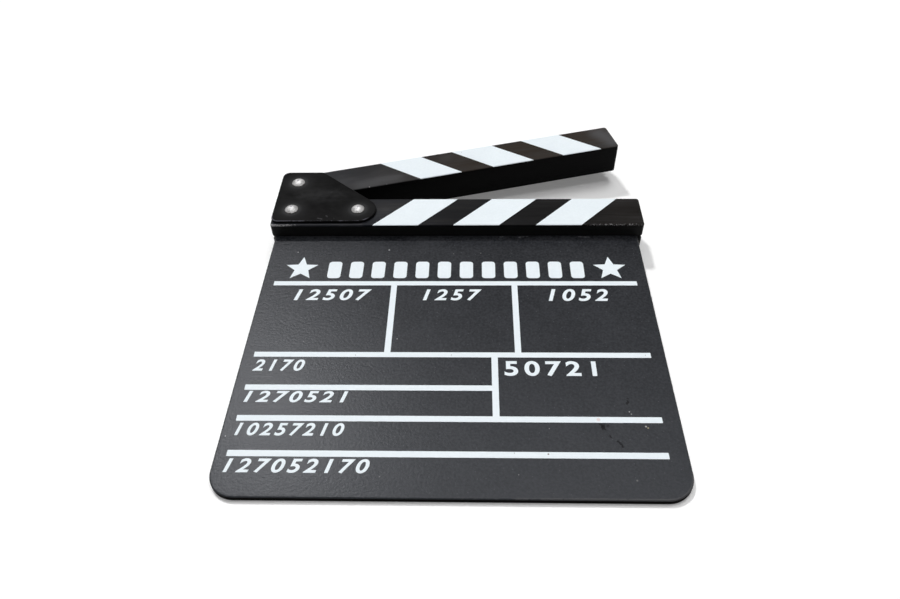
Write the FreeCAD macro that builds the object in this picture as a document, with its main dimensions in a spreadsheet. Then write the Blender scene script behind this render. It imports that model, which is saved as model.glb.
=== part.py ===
import FreeCAD, Part
import math
import os
import Sketcher

# A small wooden clapperboard that lies on its back with its upper stick swung open.
# x runs along the sticks, y up the slate and z out of the slate's front face. The origin is the
# middle of the slate's bottom edge. Lengths are millimetres and angles are degrees.

SIZES = {
    # The slate: a coated board whose bare upper rim is a tongue in the lower stick.
    "slate_width": 200,
    "slate_face_height": 159.2,
    "slate_thickness": 3,
    "slate_corner_radius": 12,
    "slate_edge_radius": 0.6,
    "slate_setback": 7.5,
    "coat_thickness": 0.2,
    "coat_stop": 0.3,
    "tongue_depth": 15,
    # The two sticks: equally long, the lower one grooved for the tongue.
    "stick_length": 205,
    "stick_overhang": 2,
    "stick_thickness": 20,
    "stick_arris": 0.6,
    "lower_stick_height": 22.8,
    "upper_stick_height": 21.6,
    "groove_room": 0.5,
    "glue_film": 0.05,
    # The hinge: where its three rivets stand and how far the upper stick is open.
    "rivet_inset": 10.4,
    "fixing_rise": 12,
    "toe_run": 37.3,
    "pivot_rise": 12.3,
    "closing_gap": 1,
    "opened_angle": 15,
    # The hinge plates: sheet metal, the front one dished round each rivet's head.
    "plate_thickness": 1.5,
    "plate_margin": 10.2,
    "plate_top_run": 23.7,
    "plate_corner_radius": 4,
    "plate_edge_bevel": 0.4,
    "dish_depth": 0.2,
    "dish_seat_margin": 0.4,
    "dish_slope_run": 1.9,
    # The rivets: a domed head in front, a hollow tail rolled over behind.
    "rivet_shank_diameter": 4,
    "rivet_head_diameter": 7.4,
    "rivet_rim_height": 0.35,
    "rivet_dome_height": 1.7,
    "rivet_tail_diameter": 6.4,
    "rivet_tail_height": 0.9,
    "rivet_tail_bevel": 0.5,
    "rivet_hollow_diameter": 2.6,
    "rivet_hollow_depth": 5,
    "rivet_fit": 0.05,
    "pivot_fit": 0.08,
    # The pivot washers, and the play that they leave the upper stick.
    "washer_diameter": 14,
    "washer_thickness": 0.5,
    "swing_play": 0.15,
    # How far a cut runs past the face that it starts from.
    "cut_overrun": 1,
}

FULL_TURN = 360
ON_AXIS = "0"
SAME_PLACE = 1e-6
STRAIGHT = 1e-4

# Places that several pieces share, as expressions on the sheet. The heel rivet is the lower left one.
# The sticks' middle plane stands at STICK_Z, and the seats are measured from it.
HEEL_X = "(Size.rivet_inset - Size.stick_overhang - Size.slate_width / 2)"
HEEL_Y = "(Size.slate_face_height + Size.fixing_rise)"
PIVOT_ABOVE_HEEL = (
    "(Size.lower_stick_height - Size.fixing_rise + Size.closing_gap + Size.pivot_rise)"
)
STICK_Z = "(Size.slate_thickness / 2 + Size.slate_setback - Size.stick_thickness / 2)"
SEAT_Z = "(Size.stick_thickness / 2)"
HEAD_SEAT_Z = "(Size.stick_thickness / 2 + Size.plate_thickness - Size.dish_depth)"
TAIL_SEAT_Z = "(-Size.stick_thickness / 2 - Size.plate_thickness)"
FREE_END = "(Size.stick_length - Size.rivet_inset)"
UPPER_THICKNESS = "(Size.stick_thickness - 2 * Size.washer_thickness - 2 * Size.swing_play)"
TONGUE_THICKNESS = "(Size.slate_thickness - 2 * Size.coat_thickness)"
FIXED_HOLE_RADIUS = "(Size.rivet_shank_diameter / 2 + Size.rivet_fit)"
PIVOT_BORE_RADIUS = "(Size.rivet_shank_diameter / 2 + Size.pivot_fit)"

doc = FreeCAD.newDocument("clapperboard")
sheet = doc.addObject("Spreadsheet::Sheet", "Size")
for row, (alias, value) in enumerate(SIZES.items(), start=1):
    sheet.set(f"A{row}", alias)
    sheet.set(f"B{row}", str(value))
    sheet.setAlias(f"B{row}", alias)
doc.recompute()


def number(item, expression):
    """The present value of an expression on the sheet."""
    return float(item.evalExpression(expression))


def new_body(name, x=None, y=None, z=None):
    """A sub-part whose own origin stands at the given places."""
    body = doc.addObject("PartDesign::Body", name)
    body.Label = name
    for axis, place in (("x", x), ("y", y), ("z", z)):
        if place is not None:
            body.setExpression(f"Placement.Base.{axis}", place)
    return body


def new_sketch(body, name, role):
    """A sketch on one of the body's own origin planes."""
    sketch = body.newObject("Sketcher::SketchObject", f"{body.Name}_{name}")
    plane = next(item for item in body.Origin.OriginFeatures if item.Role == role)
    sketch.AttachmentSupport = [(plane, "")]
    sketch.MapMode = "FlatFace"
    return sketch


def bind(sketch, kind, places, expression):
    """A dimension of the sketch that follows the sheet."""
    index = sketch.addConstraint(Sketcher.Constraint(kind, *places, number(sketch, expression)))
    sketch.renameConstraint(index, f"size_{index}")
    sketch.setExpression(f"Constraints.size_{index}", expression)


def pin_point(sketch, geometry, end, across=None, up=None):
    """Holds one point of the sketch at a distance from its origin."""
    if across is not None:
        bind(sketch, "DistanceX", (-1, 1, geometry, end), across)
    if up is not None:
        bind(sketch, "DistanceY", (-1, 1, geometry, end), up)


def line(sketch, start, end):
    """A straight edge between two points of the sketch."""
    return sketch.addGeometry(Part.LineSegment(FreeCAD.Vector(*start), FreeCAD.Vector(*end)))


def arc(sketch, centre, radius, start_angle, end_angle):
    """A round edge that runs anticlockwise between two angles in radians."""
    circle = Part.Circle(FreeCAD.Vector(*centre), FreeCAD.Vector(0, 0, 1), radius)
    return sketch.addGeometry(Part.ArcOfCircle(circle, start_angle, end_angle))


def constrain(sketch, *constraints):
    """Rules without a size, such as two ends that meet or a level line."""
    for constraint in constraints:
        sketch.addConstraint(Sketcher.Constraint(*constraint))


def outline(sketch, points, closed=True):
    """Straight edges from point to point, with each point held by two expressions."""
    values = [(number(sketch, across), number(sketch, up)) for across, up in points]
    stops = values[1:] + values[:1] if closed else values[1:]
    sides = [line(sketch, start, stop) for start, stop in zip(values, stops)]
    for side, following in zip(sides, sides[1:]):
        constrain(sketch, ("Coincident", side, 2, following, 1))
    ends = [(side, 1) for side in sides]
    if closed:
        constrain(sketch, ("Coincident", sides[-1], 2, sides[0], 1))
    else:
        ends.append((sides[-1], 2))
    for (across, up), (side, end) in zip(points, ends):
        if across == ON_AXIS:
            constrain(sketch, ("PointOnObject", side, end, -2))
            pin_point(sketch, side, end, up=up)
        else:
            pin_point(sketch, side, end, across, up)
    return sides


def rectangle(sketch, left, bottom, right, top):
    """A rectangle with each side held by an expression."""
    outline(sketch, [(left, bottom), (right, bottom), (right, top), (left, top)])


def round_hole(sketch, radius, across=None, up=None):
    """A circle at a place in the sketch, or on its origin where no place is given."""
    x = number(sketch, across) if across else 0
    y = number(sketch, up) if up else 0
    circle = Part.Circle(FreeCAD.Vector(x, y), FreeCAD.Vector(0, 0, 1), number(sketch, radius))
    ring = sketch.addGeometry(circle)
    bind(sketch, "Radius", (ring,), radius)
    for axis, place, kind in ((-2, across, "DistanceX"), (-1, up, "DistanceY")):
        if place:
            bind(sketch, kind, (-1, 1, ring, 3), place)
        else:
            constrain(sketch, ("PointOnObject", ring, 3, axis))


def pad(body, sketch, length, side="Symmetric", backwards=False):
    """Raises a sketch into a solid."""
    feature = body.newObject("PartDesign::Pad", f"{sketch.Name}_pad")
    feature.Profile = sketch
    feature.SideType = side
    feature.Reversed = backwards
    feature.setExpression("Length", length)
    doc.recompute()
    return feature


def cut_through(body, sketch):
    """Cuts a sketch right through the body, both ways from its plane."""
    before = body.Shape.Volume
    feature = body.newObject("PartDesign::Pocket", f"{sketch.Name}_cut")
    feature.Profile = sketch
    feature.SideType = "Symmetric"
    feature.Type = "ThroughAll"
    doc.recompute()
    if feature.Shape.Volume >= before:
        raise RuntimeError(f"{feature.Name} cuts nothing")
    return feature


def normal_beside(face, edge):
    """A face's normal at the middle of one of its edges."""
    middle = edge.valueAt((edge.FirstParameter + edge.LastParameter) / 2)
    return face.normalAt(*face.Surface.parameter(middle))


def sharp_edges(feature, wanted=None):
    """Names of the edges at which two faces meet at an angle, from those that are wanted."""
    shape = feature.Shape
    names = []
    for index, edge in enumerate(shape.Edges, start=1):
        faces = shape.ancestorsOfType(edge, Part.Face)
        first, second = (normal_beside(face, edge) for face in faces)
        if first.dot(second) < 1 - STRAIGHT and (wanted is None or wanted(edge)):
            names.append(f"Edge{index}")
    return names


def is_upright(edge):
    """True for an edge along z."""
    box = edge.BoundBox
    return box.XLength < SAME_PLACE and box.YLength < SAME_PLACE


def round_edges(body, feature, edges, radius):
    """Rounds the named edges of a feature."""
    fillet = body.newObject("PartDesign::Fillet", f"{feature.Name}_round")
    fillet.Base = (feature, edges)
    fillet.setExpression("Radius", radius)
    doc.recompute()
    return fillet


def bevel_edges(body, feature, edges, width):
    """Takes the sharpness off the named edges of a feature with a small flat."""
    chamfer = body.newObject("PartDesign::Chamfer", f"{feature.Name}_bevel")
    chamfer.Base = (feature, edges)
    chamfer.setExpression("Size", width)
    doc.recompute()
    return chamfer


def slate():
    """The board: its coated face with two rounded corners, and the bare tongue with rivet holes."""
    body = new_body("slate_board", y="Size.slate_face_height")
    face = new_sketch(body, "face", "XY_Plane")
    rectangle(face, "-Size.slate_width / 2", "-Size.slate_face_height", "Size.slate_width / 2",
              "-Size.coat_stop")
    board = pad(body, face, "Size.slate_thickness")
    foot = board.Shape.BoundBox.YMin

    def at_foot(edge):
        return is_upright(edge) and edge.BoundBox.YMax < foot + SAME_PLACE

    cornered = round_edges(body, board, sharp_edges(board, at_foot), "Size.slate_corner_radius")
    top = board.Shape.BoundBox.YMax

    def on_outer_rim(edge):
        return edge.BoundBox.ZLength < SAME_PLACE and edge.BoundBox.YMin < top - SAME_PLACE

    round_edges(body, cornered, sharp_edges(cornered, on_outer_rim), "Size.slate_edge_radius")
    tongue = new_sketch(body, "tongue", "XY_Plane")
    rectangle(tongue, "-Size.slate_width / 2", "-Size.coat_stop", "Size.slate_width / 2",
              "Size.tongue_depth")
    pad(body, tongue, TONGUE_THICKNESS)
    holes = new_sketch(body, "holes", "XY_Plane")
    round_hole(holes, FIXED_HOLE_RADIUS, HEEL_X, "Size.fixing_rise")
    round_hole(holes, FIXED_HOLE_RADIUS, f"{HEEL_X} + Size.toe_run", "Size.fixing_rise")
    cut_through(body, holes)
    return body


def lower_stick():
    """The fixed stick: eased edges, a groove along its foot and two rivet holes."""
    body = new_body("lower_clapstick", HEEL_X, HEEL_Y, STICK_Z)
    side = new_sketch(body, "side", "XY_Plane")
    rectangle(side, "-Size.rivet_inset", "-Size.fixing_rise", FREE_END,
              "Size.lower_stick_height - Size.fixing_rise")
    stick = pad(body, side, "Size.stick_thickness")
    bevel_edges(body, stick, sharp_edges(stick), "Size.stick_arris")
    groove = new_sketch(body, "groove", "YZ_Plane")
    half_groove = f"({TONGUE_THICKNESS} / 2 + Size.glue_film)"
    rectangle(groove, "-Size.fixing_rise - Size.cut_overrun", f"-{half_groove} - {STICK_Z}",
              "Size.tongue_depth + Size.groove_room - Size.fixing_rise", f"{half_groove} - {STICK_Z}")
    cut_through(body, groove)
    holes = new_sketch(body, "holes", "XY_Plane")
    round_hole(holes, FIXED_HOLE_RADIUS)
    round_hole(holes, FIXED_HOLE_RADIUS, "Size.toe_run")
    cut_through(body, holes)
    return body


def upper_stick():
    """The swinging stick: a full-round heel about its pivot bore, and a square free end."""
    body = new_body("upper_clapstick", HEEL_X, f"{HEEL_Y} + {PIVOT_ABOVE_HEEL}", STICK_Z)
    body.setExpression("Placement.Rotation.Angle", "Size.opened_angle")
    side = new_sketch(body, "side", "XY_Plane")
    low = number(side, "-Size.pivot_rise")
    high = number(side, "Size.upper_stick_height - Size.pivot_rise")
    free_end = number(side, FREE_END)
    heel_radius = (high - low) / 2
    heel_x = heel_radius - number(side, "Size.rivet_inset")
    bottom = line(side, (heel_x, low), (free_end, low))
    end = line(side, (free_end, low), (free_end, high))
    top = line(side, (free_end, high), (heel_x, high))
    heel = arc(side, (heel_x, (low + high) / 2), heel_radius, math.pi / 2, 3 * math.pi / 2)
    constrain(side, ("Horizontal", bottom), ("Vertical", end), ("Horizontal", top))
    constrain(side, ("Coincident", bottom, 2, end, 1), ("Coincident", end, 2, top, 1))
    constrain(side, ("Tangent", top, 2, heel, 1), ("Tangent", heel, 2, bottom, 1))
    pin_point(side, bottom, 2, FREE_END, "-Size.pivot_rise")
    pin_point(side, end, 2, up="Size.upper_stick_height - Size.pivot_rise")
    pin_point(side, heel, 3, across="Size.upper_stick_height / 2 - Size.rivet_inset")
    stick = pad(body, side, UPPER_THICKNESS)
    bevel_edges(body, stick, sharp_edges(stick), "Size.stick_arris")
    bore = new_sketch(body, "bore", "XY_Plane")
    round_hole(bore, PIVOT_BORE_RADIUS)
    cut_through(body, bore)
    return body


def plate_outline(body):
    """The plate's outline about the heel rivet: two square sides, a slant and a round toe."""
    sketch = new_sketch(body, "outline", "XY_Plane")
    margin = number(sketch, "Size.plate_margin")
    high = number(sketch, f"{PIVOT_ABOVE_HEEL} + Size.plate_margin")
    toe = number(sketch, "Size.toe_run")
    shoulder = number(sketch, "Size.plate_top_run - Size.plate_margin")
    reach = math.hypot(shoulder - toe, high)
    lean = math.atan2(high, shoulder - toe) - math.acos(margin / reach)
    touch = (toe + margin * math.cos(lean), margin * math.sin(lean))
    left = line(sketch, (-margin, high), (-margin, -margin))
    bottom = line(sketch, (-margin, -margin), (toe, -margin))
    round_toe = arc(sketch, (toe, 0), margin, -math.pi / 2, lean)
    slant = line(sketch, touch, (shoulder, high))
    top = line(sketch, (shoulder, high), (-margin, high))
    constrain(sketch, ("Vertical", left), ("Horizontal", bottom), ("Horizontal", top))
    constrain(sketch, ("Coincident", left, 2, bottom, 1), ("Coincident", slant, 2, top, 1))
    constrain(sketch, ("Coincident", top, 2, left, 1), ("PointOnObject", round_toe, 3, -1))
    constrain(sketch, ("Tangent", bottom, 2, round_toe, 1), ("Tangent", round_toe, 2, slant, 1))
    pin_point(sketch, left, 1, "-Size.plate_margin", f"{PIVOT_ABOVE_HEEL} + Size.plate_margin")
    pin_point(sketch, left, 2, up="-Size.plate_margin")
    pin_point(sketch, round_toe, 3, across="Size.toe_run")
    pin_point(sketch, slant, 2, across="Size.plate_top_run - Size.plate_margin")
    return sketch


def dish(body, name, across=None, up=None):
    """A shallow dish in the front plate's outer face, in which a rivet's head sits."""
    sketch = new_sketch(body, name, "XZ_Plane")
    if across:
        sketch.setExpression("AttachmentOffset.Base.x", across)
    if up:
        sketch.setExpression("AttachmentOffset.Base.z", f"-({up})")
    seat_radius = "(Size.rivet_head_diameter / 2 + Size.dish_seat_margin)"
    slope_share = "(Size.dish_slope_run / Size.dish_depth)"
    rim_radius = f"({seat_radius} + {slope_share} * (Size.dish_depth + Size.cut_overrun))"
    seat = "Size.plate_thickness - Size.dish_depth"
    above = "Size.plate_thickness + Size.cut_overrun"
    outline(sketch, [(ON_AXIS, seat), (seat_radius, seat), (rim_radius, above), (ON_AXIS, above)])
    before = body.Shape.Volume
    feature = body.newObject("PartDesign::Groove", f"{sketch.Name}_cut")
    feature.Profile = sketch
    feature.ReferenceAxis = (sketch, ["V_Axis"])
    feature.Angle = FULL_TURN
    doc.recompute()
    if feature.Shape.Volume >= before:
        raise RuntimeError(f"{feature.Name} cuts nothing")


def hinge_plate(name, outward):
    """A plate on one side of the sticks; outward is 1 in front and -1 behind."""
    seat = f"{STICK_Z} + {SEAT_Z}" if outward > 0 else f"{STICK_Z} - {SEAT_Z}"
    body = new_body(name, HEEL_X, HEEL_Y, seat)
    sheet_metal = pad(body, plate_outline(body), "Size.plate_thickness", "One side", outward < 0)
    corners = sharp_edges(sheet_metal, is_upright)
    cornered = round_edges(body, sheet_metal, corners, "Size.plate_corner_radius")
    outer_z = outward * number(body, "Size.plate_thickness")

    def on_outer_rim(edge):
        box = edge.BoundBox
        return abs(box.ZMin - outer_z) < SAME_PLACE and abs(box.ZMax - outer_z) < SAME_PLACE

    bevel_edges(body, cornered, sharp_edges(cornered, on_outer_rim), "Size.plate_edge_bevel")
    if outward > 0:
        dish(body, "heel_dish")
        dish(body, "toe_dish", across="Size.toe_run")
        dish(body, "pivot_dish", up=PIVOT_ABOVE_HEEL)
    holes = new_sketch(body, "holes", "XY_Plane")
    round_hole(holes, FIXED_HOLE_RADIUS)
    round_hole(holes, FIXED_HOLE_RADIUS, "Size.toe_run")
    round_hole(holes, FIXED_HOLE_RADIUS, up=PIVOT_ABOVE_HEEL)
    cut_through(body, holes)
    return body


def rivet(name, x, y):
    """A rivet turned about z: domed head, shank through the sticks, hollow tail rolled over."""
    body = new_body(name, x, y, STICK_Z)
    sketch = new_sketch(body, "profile", "XZ_Plane")
    head = "Size.rivet_head_diameter / 2"
    shank = "Size.rivet_shank_diameter / 2"
    tail = "Size.rivet_tail_diameter / 2"
    hollow = "Size.rivet_hollow_diameter / 2"
    rim_top = f"{HEAD_SEAT_Z} + Size.rivet_rim_height"
    crown = f"{rim_top} + Size.rivet_dome_height"
    tail_end = f"{TAIL_SEAT_Z} - Size.rivet_tail_height"
    hollow_end = f"{TAIL_SEAT_Z} + Size.rivet_hollow_depth"
    sides = outline(sketch, [
        (head, rim_top), (head, HEAD_SEAT_Z), (shank, HEAD_SEAT_Z), (shank, TAIL_SEAT_Z),
        (tail, TAIL_SEAT_Z), (f"{tail} - Size.rivet_tail_bevel", tail_end),
        (f"{hollow} + Size.rivet_tail_bevel", tail_end), (hollow, TAIL_SEAT_Z),
        (hollow, hollow_end), (ON_AXIS, hollow_end), (ON_AXIS, crown),
    ], closed=False)
    head_radius = number(sketch, head)
    rise = number(sketch, "Size.rivet_dome_height")
    dome_radius = (head_radius ** 2 + rise ** 2) / (2 * rise)
    dome_edge = math.atan2(dome_radius - rise, head_radius)
    dome_centre = (0, number(sketch, crown) - dome_radius)
    dome = arc(sketch, dome_centre, dome_radius, dome_edge, math.pi / 2)
    constrain(sketch, ("Coincident", dome, 1, sides[0], 1), ("Coincident", dome, 2, sides[-1], 2))
    constrain(sketch, ("PointOnObject", dome, 3, -2))
    feature = body.newObject("PartDesign::Revolution", f"{sketch.Name}_turned")
    feature.Profile = sketch
    feature.ReferenceAxis = (sketch, ["V_Axis"])
    feature.Angle = FULL_TURN
    doc.recompute()
    return body


def pivot_washer(name, outward):
    """A washer that lies on the inner face of a hinge plate."""
    seat = f"{STICK_Z} + {SEAT_Z}" if outward > 0 else f"{STICK_Z} - {SEAT_Z}"
    body = new_body(name, HEEL_X, f"{HEEL_Y} + {PIVOT_ABOVE_HEEL}", seat)
    ring = new_sketch(body, "ring", "XY_Plane")
    round_hole(ring, "Size.washer_diameter / 2")
    round_hole(ring, FIXED_HOLE_RADIUS)
    pad(body, ring, "Size.washer_thickness", "One side", outward > 0)
    return body


pieces = [
    slate(),
    lower_stick(),
    upper_stick(),
    hinge_plate("front_hinge_plate", 1),
    hinge_plate("rear_hinge_plate", -1),
    rivet("pivot_rivet", HEEL_X, f"{HEEL_Y} + {PIVOT_ABOVE_HEEL}"),
    rivet("heel_rivet", HEEL_X, HEEL_Y),
    rivet("toe_rivet", f"{HEEL_X} + Size.toe_run", HEEL_Y),
    pivot_washer("front_pivot_washer", 1),
    pivot_washer("rear_pivot_washer", -1),
]
doc.recompute()

for item in doc.Objects:
    if "Invalid" in item.State or "Error" in item.State:
        raise RuntimeError(f"{item.Label} failed: {item.State}")
for piece in pieces:
    if piece.Shape.isNull() or not piece.Shape.isValid() or len(piece.Shape.Solids) != 1:
        raise RuntimeError(f"{piece.Label} is not one sound solid")

os.makedirs("parts", exist_ok=True)
for piece in pieces:
    piece.Shape.exportStep(f"parts/{piece.Label}.step")
    box = piece.Shape.optimalBoundingBox()
    print(f"{piece.Label}: {box.XLength:.2f} x {box.YLength:.2f} x {box.ZLength:.2f} mm,"
          f" {piece.Shape.Volume:.1f} mm3")
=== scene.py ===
# %% [markdown]
# # Dressing a film clapperboard
# The imported model is the fixed frame of this lesson: ten pieces at their real size, on two bodies that
# one hinge joins. Here every piece gets the surface that it has on the real object. The frame is loaded
# first, and the boxes of its pieces are read from it. The dressed model has to stay inside it.

# %% Load the frame
import math

import bmesh
import bpy
from mathutils import Matrix, Vector


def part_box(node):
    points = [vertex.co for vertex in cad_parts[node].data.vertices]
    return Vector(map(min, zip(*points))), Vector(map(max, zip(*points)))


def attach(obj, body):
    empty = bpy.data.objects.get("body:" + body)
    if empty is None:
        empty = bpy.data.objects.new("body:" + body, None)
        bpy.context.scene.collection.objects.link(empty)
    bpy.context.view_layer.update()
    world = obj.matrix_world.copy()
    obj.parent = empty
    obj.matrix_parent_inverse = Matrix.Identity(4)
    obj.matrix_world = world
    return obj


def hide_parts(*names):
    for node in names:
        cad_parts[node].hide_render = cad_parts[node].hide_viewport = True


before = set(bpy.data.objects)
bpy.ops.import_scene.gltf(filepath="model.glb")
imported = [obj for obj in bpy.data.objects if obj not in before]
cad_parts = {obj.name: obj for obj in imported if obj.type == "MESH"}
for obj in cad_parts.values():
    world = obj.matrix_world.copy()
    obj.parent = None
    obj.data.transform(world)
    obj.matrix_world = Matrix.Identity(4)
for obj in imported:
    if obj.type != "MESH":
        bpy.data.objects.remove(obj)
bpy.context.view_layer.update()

# %% [markdown]
# ## Places that every step needs
# A clapperboard is measured from a few places: the slate, the lower stick, the hinge plate and the three
# rivets. They could be typed in again, but then a change of the model would leave the looks behind. So
# they are read from the frame, and only what a box can't tell is a named size of its own.

# %% Read the driving places
MM = 0.001
BODY_SLATE = "slate"
BODY_CLAPPER = "clapper"
OPENED_ANGLE = math.radians(15)


def middle(node):
    """The middle of a node's box, seen from the front."""
    low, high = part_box(node)
    return ((low + high) / 2).to_2d()


slate_low, slate_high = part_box("slate_board")
stick_low, stick_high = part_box("lower_clapstick")
clapper_low, clapper_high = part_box("upper_clapstick")
plate_low, plate_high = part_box("front_hinge_plate")
rear_low, rear_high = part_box("rear_hinge_plate")
rivet_low, rivet_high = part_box("heel_rivet")
rivet_spots = {name: middle(f"{name}_rivet") for name in ("heel", "toe", "pivot")}
heel, toe, pivot = rivet_spots.values()
swung_open = Matrix.Translation((pivot.x, pivot.y, 0)) @ Matrix.Rotation(OPENED_ANGLE, 4, "Z")
print("rivets at", tuple(heel), tuple(toe), tuple(pivot))

# %% [markdown]
# ## A short way to write shader nodes
# A material in Blender is a tree of nodes. Made by hand in the editor it is dragged and wired; in a script
# each node takes several lines. These helpers keep a material readable: `add` makes one node and fills its
# sockets, and it makes a link wherever the value that it gets is a socket of another node.

# %% Helpers for nodes
def feed(tree, socket, value):
    """Links a socket, or sets it to a plain value."""
    if isinstance(value, bpy.types.NodeSocket):
        tree.links.new(value, socket)
    else:
        socket.default_value = value


def add(tree, kind, *in_order, **named):
    """A shader node. Values fill its sockets in order or by name; lower-case names are its settings."""
    node = tree.nodes.new(f"ShaderNode{kind}")
    for key, value in named.items():
        if key.islower():
            setattr(node, key, value)
    for key, value in named.items():
        if not key.islower():
            feed(tree, node.inputs[key.replace("_", " ")], value)
    for socket, value in zip(node.inputs, in_order):
        feed(tree, socket, value)
    return node


def calculate(tree, operation, *values):
    """One sum on values, and its result."""
    return add(tree, "Math", *values, operation=operation).outputs[0]


def vector_sum(tree, operation, *vectors, output="Vector"):
    """One sum on vectors; those that give a plain number have it in their output Value."""
    return add(tree, "VectorMath", *vectors, operation=operation).outputs[output]


print("node helpers ready")

# %% [markdown]
# Most finishes need the same few steps: a soft step between two limits, a solid noise, a value that follows
# such a noise, and a mix of two colours. A noise stays near its middle, so the limits of a value that
# follows it are given as a spread to both sides.

# %% Helpers for noise and colour
NOISE_MIDDLE = 0.5
NOISE_SPREAD = 0.2


def ramp(tree, value, start, stop, low=0.0, high=1.0):
    """A soft step: low up to start, high from stop on."""
    step = add(tree, "MapRange", value, start, stop, low, high, interpolation_type="SMOOTHSTEP")
    return step.outputs["Result"]


def noise(tree, place, scale, detail, roughness):
    """A solid noise between 0 and 1."""
    made = add(tree, "TexNoise", Vector=place, Scale=scale, Detail=detail, Roughness=roughness)
    return made.outputs["Fac"]


def uneven(tree, height, low=0.0, high=1.0, spread=NOISE_SPREAD):
    """A value that follows a noise's height from low to high."""
    return ramp(tree, height, NOISE_MIDDLE - spread, NOISE_MIDDLE + spread, low, high)


def mix_colour(tree, mask, first, second):
    """The first colour where the mask is 0, the second where it is 1."""
    node = tree.nodes.new("ShaderNodeMix")
    node.data_type = "RGBA"
    colour_sockets = [socket for socket in node.inputs if socket.type == "RGBA"]
    feed(tree, node.inputs["Factor"], mask)
    feed(tree, colour_sockets[0], first)
    feed(tree, colour_sockets[1], second)
    return next(socket for socket in node.outputs if socket.type == "RGBA")


def tint(red, green, blue):
    """A colour with full alpha."""
    return (red, green, blue, 1)


def grey(level):
    """An even grey with full alpha."""
    return tint(level, level, level)


print("noise and colour helpers ready")

# %% [markdown]
# ## Effects that several finishes share
# All finishes have a fine uneven grain, and several have rubbed edges, scuffs or stray flecks, each with its
# own strength. Copied into every material these nodes would drift apart, so each effect is a node group,
# built once. A group hands out masks and heights only: what they do to the colour or the gloss stays in the
# material that uses them.

# %% Helpers for node groups
def new_group(name, vectors, values, results):
    """A shader node group with its sockets, and the sockets to wire inside it."""
    group = bpy.data.node_groups.new(name, "ShaderNodeTree")
    sockets = [(title, "INPUT", "Vector") for title in vectors]
    sockets += [(title, "INPUT", "Float") for title in values]
    sockets += [(title, "OUTPUT", "Float") for title in results]
    for title, way, kind in sockets:
        group.interface.new_socket(title, in_out=way, socket_type=f"NodeSocket{kind}")
    print("group", name, "has", len(sockets), "sockets")
    return group, group.nodes.new("NodeGroupInput").outputs, group.nodes.new("NodeGroupOutput").inputs


def place_group(tree, group, **values):
    """One use of a group in a material, and its outputs."""
    node = tree.nodes.new("ShaderNodeGroup")
    node.node_tree = group
    for key, value in values.items():
        feed(tree, node.inputs[key], value)
    return node.outputs


print("group helpers ready")

# %% [markdown]
# The first effect is grain: fine noise over broader noise. `Stretch` squeezes the noise along an axis, so
# one group gives the even tooth of the slate's coat and the long streaks of painted wood.

# %% Grain group
grain_group, given, result = new_group(
    "paint_grain", ["Vector", "Stretch"], ["Fine", "Broad", "Share"], ["Mask", "Height"])
tree = grain_group
tree.interface.items_tree["Stretch"].default_value = (1, 1, 1)
stretched = vector_sum(tree, "MULTIPLY", given["Vector"], given["Stretch"])
fine = noise(tree, stretched, given["Fine"], detail=3, roughness=0.6)
broad = noise(tree, stretched, given["Broad"], detail=4, roughness=0.55)
fine_part = calculate(tree, "MULTIPLY", fine, given["Share"])
broad_part = calculate(tree, "MULTIPLY", broad, calculate(tree, "SUBTRACT", 1, given["Share"]))
height = calculate(tree, "ADD", fine_part, broad_part)
feed(tree, result["Mask"], uneven(tree, height))
feed(tree, result["Height"], height)

# %% [markdown]
# The second effect is marked rims. Blender can find edges by itself with its bevel or pointiness nodes, but
# hands and tables don't rub all edges alike, and light doesn't catch them alike. So the meshes of slate,
# sticks, plates and rivets carry an attribute on their vertices that says how strongly a rim is marked, and
# this group only makes the border of the marked patches ragged. On the sticks the marks are rubbed paint; on
# the slate's and the plates' rims they are painted highlights with a little wear, and on the rivets' domes
# they are grime with painted shade.

# %% Rim mark group
MARK_START, MARK_STOP = 0.75, 0.85
edge_group, given, result = new_group("marked_rim", ["Vector"], ["Ragged", "Amount"], ["Mask"])
tree = edge_group
# The attribute marks rubbed paint, painted highlights and painted shade alike.
painted = add(tree, "Attribute", attribute_name="rim_mark").outputs["Fac"]
tear = noise(tree, given["Vector"], given["Ragged"], detail=5, roughness=0.7)
torn = calculate(tree, "MULTIPLY", painted, tear)
start, stop = (calculate(tree, "SUBTRACT", limit, given["Amount"]) for limit in (MARK_START, MARK_STOP))
feed(tree, result["Mask"], ramp(tree, torn, start, stop))

# %% [markdown]
# The third effect is a scuff: a short stroke between two points. The distance from a point to a stroke is
# plain vector arithmetic, which shader nodes can do without any picture. The group gives two masks: `Mask`
# is a stroke that is torn along its way, and `Soft` fades evenly, like the smear of a hand.

# %% Scuff group
TEAR_EMPTY, TEAR_FULL = 0.34, 0.64
STROKE_EDGE = 0.3
scuff_group, given, result = new_group(
    "scuff_stroke", ["Vector", "Start", "End"], ["Width", "Ragged"], ["Mask", "Soft"])
tree = scuff_group
from_start = vector_sum(tree, "SUBTRACT", given["Vector"], given["Start"])
stroke = vector_sum(tree, "SUBTRACT", given["End"], given["Start"])
along = vector_sum(tree, "DOT_PRODUCT", from_start, stroke, output="Value")
whole = vector_sum(tree, "DOT_PRODUCT", stroke, stroke, output="Value")
share = add(tree, "Clamp", calculate(tree, "DIVIDE", along, whole)).outputs["Result"]
nearest = add(tree, "VectorMath", stroke, operation="SCALE", Scale=share).outputs["Vector"]
away = vector_sum(tree, "DISTANCE", from_start, nearest, output="Value")
tear = noise(tree, given["Vector"], given["Ragged"], detail=4, roughness=0.7)
fullness = ramp(tree, tear, TEAR_EMPTY, TEAR_FULL)
inside = calculate(tree, "SUBTRACT", calculate(tree, "MULTIPLY", given["Width"], fullness), away)
edge = calculate(tree, "MULTIPLY", given["Width"], STROKE_EDGE)
feed(tree, result["Mask"], ramp(tree, inside, 0, edge))
feed(tree, result["Soft"], ramp(tree, away, given["Width"], 0))

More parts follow.
